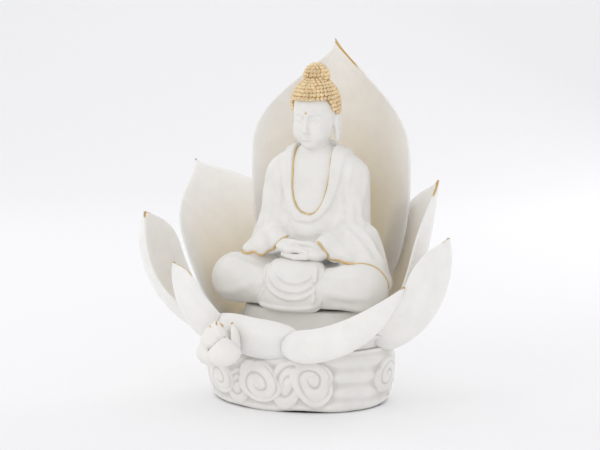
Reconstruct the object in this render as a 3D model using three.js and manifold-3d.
// A tabletop water fountain: a seated figure on a lotus flower that stands on a cloud-carved base.
// The base is a water tank with a small pump in it. The pump lifts water through a hose to a spout on
// the tall back petal, hidden behind the figure; the water runs down the petal into the flower's bowl
// and back under the seat into the tank. The figure and the seat lift out to reach the pump.
// Millimetres, +Z up, the figure faces -Y, and the origin is the middle of the underside.
import * as THREE from "three";
import { ParametricGeometry } from "three/addons/geometries/ParametricGeometry.js";
import { mergeVertices } from "three/addons/utils/BufferGeometryUtils.js";
import Module from "manifold-3d";

const wasm = await Module();
wasm.setup();

// ---------------------------------------------------------------- driving dimensions
const GAP = 0.35; // between pieces that touch or are bonded
const PAD = { height: 2, halfX: 66, halfY: 51 };
const BASE = { halfX: 74, halfY: 59, bottom: PAD.height + GAP, top: 46, wall: 9, floor: 6 };
const FLOWER_Y = 7; // the flower's axis is this far behind the origin
const BOWL = {
  y: 2, bottom: BASE.top + GAP, floor: 5, halfX: 70, halfY: 57, rimX: 82, rimZ: 58, wall: 4,
};
const FLOOR_Z = BOWL.bottom + BOWL.floor; // top of the bowl's floor
const SEAT = { y: 9, halfX: 52, halfY: 29, topX: 49, topY: 27, topZ: 69.65, wall: 4 };
const HATCH = { y: 9, halfX: 42, halfY: 22 }; // opening in the bowl's floor over the pump
const FIGURE_Z = SEAT.topZ + GAP; // underside of the seated figure
const PUMP = { y: 4, z: 26, half: 13, x0: -10, x1: 30 }; // x0 is its front, where the impeller is
const ROTOR = { magnet: 5.4, well: 6, chamber: 10, shaft: 1, bore: 1.08 };
const HOSE = { outer: 4, inner: 2.8, x: -10, y: 43 }; // x and y where it passes the bowl's floor
const SPOUT = { x: -12, z: 160, radius: 7 };
const INLET = { x: 22, z: 35, outer: 54.5, inner: 49, radius: 4 }; // sealed socket, above the water
const BUD = { x: -33, y: -74, z: 36 };

// ---------------------------------------------------------------- finishes
const finish = (color, roughness, metalness = 0) =>
  new THREE.MeshStandardMaterial({ color, roughness, metalness });
const resin = finish(0xefece4, 0.55);
const gold = finish(0xd9a24a, 0.35, 0.9);
const blackPlastic = finish(0x1b1c1f, 0.45);
const greyPlastic = finish(0x8c9096, 0.5);
const rubber = finish(0x2a2a2c, 0.85);
const clearHose = finish(0xd7dee0, 0.15);
const ferrite = finish(0x3a3836, 0.6);
const ceramic = finish(0xf4f2ec, 0.2);
const copper = finish(0xb4673a, 0.35, 0.9);
const steel = finish(0x9a9da1, 0.45, 0.9);
const epoxy = finish(0x26221e, 0.4);

// ---------------------------------------------------------------- solids from three.js geometry
const vec = (x, y, z) => new THREE.Vector3(x, y, z);

/** A closed geometry as a solid, turned so that its faces point outwards. */
function solid(geometry) {
  const g = geometry.index ? geometry.toNonIndexed() : geometry.clone();
  for (const name of Object.keys(g.attributes)) if (name !== "position") g.deleteAttribute(name);
  const merged = mergeVertices(g, 1e-3);
  const index = merged.index.array;
  const kept = [];
  for (let i = 0; i < index.length; i += 3) {
    const [a, b, c] = [index[i], index[i + 1], index[i + 2]];
    if (a !== b && b !== c && c !== a) kept.push(a, b, c);
  }
  const p = merged.attributes.position.array;
  const corner = (i) => vec(p[3 * i], p[3 * i + 1], p[3 * i + 2]);
  let volume = 0;
  for (let i = 0; i < kept.length; i += 3)
    volume += corner(kept[i]).dot(corner(kept[i + 1]).cross(corner(kept[i + 2])));
  if (volume < 0) kept.reverse();
  return new wasm.Manifold(
    new wasm.Mesh({ numProp: 3, vertProperties: p, triVerts: new Uint32Array(kept) }),
  );
}

const join = (...solids) => solids.reduce((sum, s) => sum.add(s));
const cut = (body, ...tools) => tools.reduce((rest, t) => rest.subtract(t), body);

/** The biggest of the bodies that a cut leaves. */
function biggest(body) {
  const bodies = body.decompose();
  return bodies.reduce((best, b) => (b.volume() > best.volume() ? b : best), bodies[0]);
}

/** A profile of [radius, z] points turned about Z, then stretched to sx by sy. */
function turned(profile, segments = 24, sx = 1, sy = 1) {
  const g = new THREE.LatheGeometry(profile.map(([r, z]) => new THREE.Vector2(r, z)), segments);
  return g.rotateX(Math.PI / 2).scale(sx, sy, 1);
}

const block = (sx, sy, sz, x, y, z) => solid(new THREE.BoxGeometry(sx, sy, sz).translate(x, y, z));
const rod = (r, h, segments = 16) => new THREE.CylinderGeometry(r, r, h, segments); // along Y
const rodX = (r, x0, x1, y, z, segments = 16) =>
  solid(rod(r, x1 - x0, segments).rotateZ(Math.PI / 2).translate((x0 + x1) / 2, y, z));
const rodY = (r, y0, y1, x, z, segments = 16) =>
  solid(rod(r, y1 - y0, segments).translate(x, (y0 + y1) / 2, z));
const rodZ = (r, z0, z1, x, y, segments = 16) =>
  solid(rod(r, z1 - z0, segments).rotateX(Math.PI / 2).translate(x, y, (z0 + z1) / 2));
const ovalPost = (halfX, halfY, z0, z1, y, segments = 32) =>
  solid(turned([[0, z0], [1, z0], [1, z1], [0, z1]], segments, halfX, halfY).translate(0, y, 0));

/** An egg shape with half sizes r about centre c, leant by tilt about X, then turned about Z. */
function egg(c, r, { grow = 0, tilt = 0, turn = 0, around = 12, down = 8 } = {}) {
  const g = new THREE.SphereGeometry(1, around, down).rotateX(Math.PI / 2);
  g.scale(r[0] + grow, r[1] + grow, r[2] + grow).rotateX(tilt).rotateZ(turn);
  return solid(g.translate(...c));
}

/** A limb with round ends, of radius ra at a and rb at b. */
function limb(a, b, ra, rb, { grow = 0, around = 12 } = {}) {
  const [p, q] = [vec(...a), vec(...b)];
  const length = p.distanceTo(q);
  const quarter = [0, 0.5, 1].map((k) => (k * Math.PI) / 2);
  const [r0, r1] = [ra + grow, rb + grow];
  const profile = [
    ...quarter.map((t) => new THREE.Vector2(r0 * Math.sin(t), -r0 * Math.cos(t))),
    ...quarter.toReversed().map((t) => new THREE.Vector2(r1 * Math.sin(t), length + r1 * Math.cos(t))),
  ];
  profile[0].x = profile.at(-1).x = 0;
  const turn = new THREE.Quaternion().setFromUnitVectors(vec(0, 1, 0), q.clone().sub(p).normalize());
  return solid(new THREE.LatheGeometry(profile, around).applyQuaternion(turn).translate(...a));
}

/** A round section carried along a smooth curve through points. */
function along(points, radius, steps, sides = 8) {
  const circle = new THREE.Shape().absarc(0, 0, radius, 0, 2 * Math.PI);
  const curve = new THREE.CatmullRomCurve3(points.map((p) => vec(...p)), false, "centripetal");
  return solid(
    new THREE.ExtrudeGeometry(circle, { steps, curveSegments: sides, extrudePath: curve }),
  );
}

const model = new THREE.Group();

/** Adds a solid to the model as the mesh of one node. */
function part(name, body, material, group = model) {
  const { vertProperties, triVerts } = body.getMesh();
  const g = new THREE.BufferGeometry();
  g.setAttribute("position", new THREE.BufferAttribute(vertProperties, 3));
  g.setIndex(new THREE.BufferAttribute(triVerts, 1));
  const flat = g.toNonIndexed();
  flat.computeVertexNormals();
  const mesh = new THREE.Mesh(flat, material);
  mesh.name = name;
  group.add(mesh);
  return body;
}

// ---------------------------------------------------------------- petals
// Each petal is a lens-shaped section carried along a spine from its root to its tip. half is its
// half width, widest where it is this share of the way up, cup the angle that each side bends
// inwards, and point how drawn out its tip is.
const PETALS = {
  front_right: {
    spine: [[12, -58, 55], [26, -77, 48.5], [84, -69, 54], [97, -30, 97]],
    half: 14, widest: 0.25, cup: 0.9, point: 1.0,
  },
  front: {
    spine: [[28, -55, 57], [6, -67, 52], [-34, -69, 56], [-45, -46, 68]],
    half: 16, widest: 0.45, cup: 0.75, point: 1.0,
  },
  front_left: {
    spine: [[-36, -34, 43], [-58, -54, 46], [-81, -55, 76], [-89, -36, 103.5]],
    half: 29, widest: 0.64, cup: 1.0, point: 1.0,
  },
  left: {
    spine: [[-50, -2, 43], [-101, -8, 38], [-137, -6, 89], [-128, -11, 137]],
    half: 37, widest: 0.7, cup: 0.91, point: 0.9,
  },
  right: {
    spine: [[50, -2, 43], [98, -6, 40], [120, -4, 86], [117, 7, 129]],
    half: 34, widest: 0.65, cup: 0.9, point: 1.1,
  },
  rear_left: {
    spine: [[-38, 30, 44], [-76, 39, 39], [-80, 54, 101], [-118, 54, 173]],
    half: 57, widest: 0.55, cup: 0.73, point: 1.6,
  },
  rear_right: {
    spine: [[38, 30, 44], [72, 44, 40], [76, 60, 104], [92, 50, 166]],
    half: 50, widest: 0.55, cup: 0.73, point: 1.5,
  },
  back: {
    spine: [[0, 58, 43], [-6, 92, 46], [-6, 110, 199], [-3, 72, 270.5]],
    half: 76, widest: 0.58, cup: 0.89, point: 1.8, thick: 6,
  },
};
function petal(spec, grow = 0) {
  const { spine, half, widest, cup, point, thick = 5, axis = [0, FLOWER_Y], grid = [14, 13] } = spec;
  const curve = new THREE.CubicBezierCurve3(...spine.map((p) => vec(...p)));
  const share = (u) =>
    u < widest
      ? Math.sqrt(Math.max(0, 1 - ((widest - u) / widest) ** 2.4))
      : (1 - ((u - widest) / (1 - widest)) ** 3) ** point;
  const surface = (v, s, target) => {
    const u = (1 - Math.cos(Math.PI * s)) / 2;
    const c = curve.getPointAt(u);
    const t = curve.getTangentAt(u);
    const inward = vec(axis[0] - c.x, axis[1] - c.y, 0);
    inward.addScaledVector(t, -inward.dot(t)).normalize();
    const side = vec().crossVectors(t, inward);
    const open = s > 0 && s < 1 ? 1 : 0;
    const w = half * share(u) * open + grow * open;
    const k = cup * Math.cos(2 * Math.PI * v);
    const lift = Math.sin(2 * Math.PI * v);
    const round = Math.sign(lift) * Math.abs(lift) ** 0.7 * (thick / 2 + grow) * share(u) ** 0.25 * open;
    target.copy(c);
    target.addScaledVector(side, (w * Math.sin(k)) / cup - round * Math.sin(k));
    target.addScaledVector(inward, (w * (1 - Math.cos(k))) / cup + round * Math.cos(k));
  };
  return solid(new ParametricGeometry(surface, ...grid));
}

// ---------------------------------------------------------------- base, bowl and seat
part("base_pad", ovalPost(PAD.halfX, PAD.halfY, 0, PAD.height, 0), rubber);

// cloud scrolls: low rounded bosses round the outside of the tank, [turn in degrees, z, half size]
const CLOUDS = [
  [-128, 25, 13], [-101, 21, 15], [-74, 27, 13], [-48, 22, 14], [-20, 24, 14], [12, 21, 14],
  [44, 26, 14], [77, 21, 15], [108, 26, 14], [140, 21, 14], [170, 25, 14], [203, 22, 14],
];
const { bottom, top } = BASE;
const tankOutside = solid(
  turned([[0, bottom], [0.965, bottom], [1, bottom + 8], [1, top - 10], [0.96, top], [0, top]], 36,
    BASE.halfX - 2, BASE.halfY - 2),
);
const clouds = CLOUDS.map(([degrees, z, size]) => {
  const a = (degrees * Math.PI) / 180;
  const [x, y] = [(BASE.halfX - 4) * Math.cos(a), (BASE.halfY - 4) * Math.sin(a)];
  const outward = Math.atan2(y / BASE.halfY ** 2, x / BASE.halfX ** 2);
  return egg([x, y, z + bottom], [4.2, size, size], { turn: outward, around: 8, down: 6 });
});
const { wall, floor } = BASE;
const tankInside = ovalPost(BASE.halfX - wall, BASE.halfY - wall, bottom + floor, top + 9, 0, 36);
const tank = cut(
  join(tankOutside, ...clouds), tankInside,
  block(18, 20, 18, INLET.x, INLET.outer + 10, INLET.z),
  block(18, 6, 18, INLET.x, INLET.inner - 3, INLET.z),
  rodY(INLET.radius + GAP, 30, 80, INLET.x, INLET.z),
);
part("cloud_base", biggest(tank), resin);

const bowlShape = (grow) => {
  const [low, high, rim] = [BOWL.bottom - grow, BOWL.rimZ + grow, BOWL.rimX / BOWL.halfX];
  const lip = [[rim, BOWL.rimZ - grow], [rim, high], [0, high]];
  const profile = [[0, low], [1, low], [1.02, FLOOR_Z - grow], ...lip];
  return solid(turned(profile, 36, BOWL.halfX + grow, BOWL.halfY + grow).translate(0, BOWL.y, 0));
};
const bowlInside = turned([[0, FLOOR_Z], [0.96, FLOOR_Z], [BOWL.rimX / BOWL.halfX, BOWL.rimZ + 1],
  [BOWL.rimX / BOWL.halfX, 90], [0, 90]], 36, BOWL.halfX - BOWL.wall, BOWL.halfY - BOWL.wall);
const hatch = ovalPost(HATCH.halfX, HATCH.halfY, 30, 90, HATCH.y);
part("lotus_bowl",
  cut(bowlShape(0), solid(bowlInside.translate(0, BOWL.y, 0)), hatch,
    rodZ(HOSE.outer + 1.2, 30, 90, HOSE.x, HOSE.y)), resin);

const seatShell = turned([[0, FLOOR_Z + GAP], [SEAT.halfX, FLOOR_Z + GAP], [SEAT.topX, SEAT.topZ],
  [0, SEAT.topZ]], 32, 1, SEAT.halfY / SEAT.halfX).translate(0, SEAT.y, 0);
const seatInside = ovalPost(SEAT.topX - SEAT.wall, SEAT.topY - SEAT.wall, 40, SEAT.topZ - SEAT.wall, SEAT.y);
const drains = [block(14, 80, 4, 22, SEAT.y, FLOOR_Z + 2), block(14, 80, 4, -22, SEAT.y, FLOOR_Z + 2)];
part("seat", cut(solid(seatShell), seatInside, ...drains), resin);

// ---------------------------------------------------------------- the flower's petals and bud
const grownBowl = bowlShape(GAP);
const grownTank = ovalPost(BASE.halfX + GAP, BASE.halfY + GAP, -9, BASE.top + GAP, 0, 36);
const placed = [];
function addPetal(name, spec) {
  const body = biggest(cut(petal(spec), grownBowl, grownTank, ...placed));
  part(name, body, resin);
  placed.push(join(petal(spec, 0.5), body));
}
for (const [name, spec] of Object.entries(PETALS)) addPetal(`petal_${name}`, spec);

const budPetal = (turn, reach, height, half) => {
  const [c, s] = [Math.cos(turn), Math.sin(turn)];
  const at = (r, z) => [BUD.x + r * c, BUD.y + r * s, BUD.z + z];
  const spine = [at(1, 0), at(reach * 1.45, 0), at(reach * 1.25, height * 0.7), at(reach * 0.7, height)];
  return { spine, half, widest: 0.5, cup: 1.1, point: 1, thick: 3, axis: [BUD.x, BUD.y], grid: [10, 8] };
};
addPetal("bud_petal_left", budPetal(-2.5, 14.5, 20, 15));
addPetal("bud_petal_right", budPetal(-0.8, 15, 22, 16));
addPetal("bud_petal_inner", budPetal(0.35, 12, 31, 9));
const heart = [[0, 5], [6, 8], [9.5, 16], [7.5, 24], [3, 29], [0, 31]].map(([r, z]) => [r, z + BUD.z]);
part("bud_heart",
  biggest(cut(solid(turned(heart, 12).translate(BUD.x - 3, BUD.y, 0)), grownBowl, ...placed)), resin);

// ---------------------------------------------------------------- the seated figure
const both = (make) => [make(-1), make(1)];
const aboveSeat = block(300, 300, 300, 0, 0, FIGURE_Z + 150);
const torso = (grow) => join(
  egg([0, 27, 96], [37, 24, 27], { grow }),
  egg([0, 25, 122], [30, 21, 34], { grow }),
  egg([0, 30, 158], [37, 19, 30], { grow, around: 14 }),
  limb([-25, 32, 172], [25, 32, 172], 15, 15, { grow, around: 10 }),
);
const arms = (grow) => [
  ...both((k) => limb([k * 28, 32, 171], [k * 33, 24, 124], 14, 12.5, { grow })),
  ...both((k) => limb([k * 33, 24, 124], [k * 16, 2, 117], 12.5, 9, { grow, around: 10 })),
  limb([35, 22, 120], [53, 8, 93], 13, 12.5, { grow, around: 10 }),
  limb([-33, 20, 118], [-40, 8, 108], 12, 9, { grow, around: 10 }),
];
const legs = (grow) => [
  ...both((k) => limb([k * 26, 24, 92], [k * 53, 0, 89], 21, 19, { grow })),
  ...both((k) => limb([k * 52, -2, 87], [k * -2, -14, 84], 17, 13, { grow, around: 10 })),
  egg([0, 4, 88], [40, 22, 20], { grow }),
];
const robe = (grow) => join(torso(grow), ...arms(grow), ...legs(grow));
const head = (grow) => join(
  egg([0.5, 25, 214.5], [17.2, 20, 22.5], { grow, around: 14, down: 10 }),
  limb([0, 31, 180], [0.5, 28, 205], 10.5, 10.5, { grow, around: 10 }),
  ...both((k) => egg([0.5 + k * 17.4, 31, 206], [2.6, 4.5, 12], { grow, around: 8, down: 6 })),
);
const hands = (grow) => join(
  egg([-5, -8, 115], [13, 9.5, 8], { grow, around: 12 }),
  egg([13, -8, 115], [13, 9.5, 8], { grow, around: 12 }),
);
const apron = egg([1, -16, 87], [34, 15, 21], { tilt: -0.12, around: 16 });
part("figure_robe", biggest(cut(robe(0).intersect(aboveSeat), head(GAP), hands(GAP))), resin);
part("figure_head", biggest(head(0)), resin);
part("figure_hands", biggest(hands(0)), resin);
part("figure_lap_cloth", biggest(cut(apron.intersect(aboveSeat), robe(GAP), hands(GAP))), resin);
const hairLine = block(80, 60, 80, 0, -22, 186).add(block(80, 120, 40, 0, 0, 172));
const hair = join(
  egg([0.5, 29, 219.5], [19.5, 22.5, 23.5], { around: 14, down: 10 }), egg([0.5, 33, 243], [10.5, 10.5, 11]),
);
part("figure_hair", biggest(cut(hair, hairLine, head(GAP), robe(GAP))), gold);

// ---------------------------------------------------------------- pump, hose and inlet
// The pump's shaft lies along X. Its front, with the water intake, faces -X.
const across = (x0, x1, halfY, halfZ = halfY, dy = 0, dz = 0) =>
  block(x1 - x0, 2 * halfY, 2 * halfZ, (x0 + x1) / 2, PUMP.y + dy, PUMP.z + dz);
const onAxis = (r, x0, x1, sides = 16) => rodX(r, x0, x1, PUMP.y, PUMP.z, sides);
const nipple = { x: -7, z: 32, end: 27 };
const wellWall = ROTOR.well + 1.5;
const bush = { outer: 2.3, inner: ROTOR.shaft + 0.06 };
part("pump_body", cut(
  join(across(PUMP.x0, PUMP.x1, PUMP.half), rodY(2, PUMP.y, nipple.end, nipple.x, nipple.z, 10)),
  onAxis(ROTOR.chamber, PUMP.x0 - 1, -4, 20), onAxis(ROTOR.well, -5, 8), onAxis(2.5, 7, 9.5, 12),
  rodY(1.2, PUMP.y, nipple.end + 1, nipple.x, nipple.z, 8),
  cut(across(-2, PUMP.x1 + 1, 11), onAxis(wellWall, -3, 11)),
), blackPlastic);
part("pump_stator", cut(across(1, 24, 10.2, 5), cut(across(0, 20, 7.9, 6))), steel);
part("pump_coil", cut(across(16, 28, 7.4, 9), across(20 - GAP, 24 + GAP, 9, 5 + GAP)), copper);
part("pump_potting",
  cut(across(28 + GAP, PUMP.x1 - 0.2, 11 - GAP), rodX(2.2, 20, 40, PUMP.y, PUMP.z + 4, 10)), epoxy);
part("pump_shaft", onAxis(ROTOR.shaft, -12.5, 9.2), ceramic);
part("pump_bush_rear", cut(onAxis(bush.outer, 7.2, 9.4, 12), onAxis(bush.inner, 6, 10)), rubber);
part("pump_bush_front", cut(onAxis(bush.outer, -13.4, -11.2, 12), onAxis(bush.inner, -14, -10)), rubber);
const blades = [0, 1, 2, 3, 4, 5].map((i) => {
  const blade = new THREE.BoxGeometry(4.2, 1, 6.4).translate(-7.4, 0, 5.4);
  return solid(blade.rotateX((i * Math.PI) / 3).translate(0, PUMP.y, PUMP.z));
});
part("impeller",
  cut(join(onAxis(3.2, -9.6, -3.6), ...blades), onAxis(ROTOR.bore, -12, 10)), greyPlastic);
part("rotor_magnet", cut(onAxis(ROTOR.magnet, -3.5, 6.6), onAxis(ROTOR.bore, -12, 10)), ferrite);
const slots = [-5, 0, 5].map((d) => across(-21, -18.5, 1.2, 6, d));
const intakes = [-6.4, 6.4].map((d) => rodX(2.2, -16, -9, PUMP.y, PUMP.z + d, 10));
part("pump_cover", cut(
  join(across(-14.5, PUMP.x0 - GAP, PUMP.half), onAxis(11, -20, -14),
    onAxis(ROTOR.chamber - GAP, -12, -9.9, 20)),
  onAxis(9.2, -19, -14.5), onAxis(2.5, -13.6, -9, 12), ...slots, ...intakes,
), blackPlastic);
part("flow_regulator", join(
  block(1.6, 14, 8, -21.2, PUMP.y, PUMP.z - 2), block(3, 6, 1.6, -22.8, PUMP.y, PUMP.z - 2),
), greyPlastic);
const feet = [[-4, -8], [24, -8], [-4, 8], [24, 8]];
feet.forEach(([x, y], i) => {
  const z0 = BASE.bottom + BASE.floor + GAP;
  const z1 = PUMP.z - PUMP.half - GAP;
  const cup = turned([[0, z0 + 1.2], [3.4, z0], [4.6, z0], [2.2, z0 + 2.6], [2.2, z1], [0, z1]], 12);
  part(`suction_cup_${i + 1}`, solid(cup.translate(x, PUMP.y + y, 0)), rubber);
});
const hosePath = [
  [nipple.x, 30, nipple.z], [-8, 39, 35], [HOSE.x, HOSE.y, 44], [HOSE.x, HOSE.y, 54],
  [-11, 52, 70], [SPOUT.x, 66, 96], [SPOUT.x, 74, 128],
];
const hoseEnds = (over) => [[nipple.x, 17.4 - over, nipple.z], ...hosePath, [SPOUT.x, 76, SPOUT.z + over]];
part("riser_hose",
  cut(along(hoseEnds(0), HOSE.outer, 16, 4), along(hoseEnds(1), HOSE.inner, 16, 3)), clearHose);
const spoutTop = SPOUT.z + 14;
part("spout", biggest(cut(
  join(rodZ(SPOUT.radius, SPOUT.z + GAP, spoutTop, SPOUT.x, 76, 16),
    egg([SPOUT.x, 68, SPOUT.z + 7], [5.5, 7, 4.5], { tilt: 0.35 })),
  rodZ(HOSE.inner, SPOUT.z - 1, SPOUT.z + 10, SPOUT.x, 76, 12),
  rodY(2.4, 50, 76, SPOUT.x, SPOUT.z + 8, 12), petal(PETALS.back, GAP),
)), resin);
const inletRod = (r, y0, y1, sides) => rodY(r, y0, y1, INLET.x, INLET.z, sides);
part("power_inlet", join(
  cut(join(inletRod(6.5, INLET.outer + GAP, INLET.outer + 2.2), inletRod(INLET.radius, 40.4, 55.2)),
    inletRod(2.75, INLET.outer - 8, 60, 12)),
  inletRod(0.9, INLET.outer - 8.5, INLET.outer + 1.4, 8)), blackPlastic);
part("inlet_nut",
  cut(inletRod(7, INLET.inner - 3, INLET.inner - GAP, 6), inletRod(INLET.radius + GAP, 30, 60)), steel);
part("pump_lead", along([[28.9, PUMP.y, PUMP.z + 4], [35, 6, 30.5], [41, 16, 32], [36, 28, 34],
  [25, 32, 35], [INLET.x, 39.4, 35]], 1.8, 14, 3), rubber);

export default model;
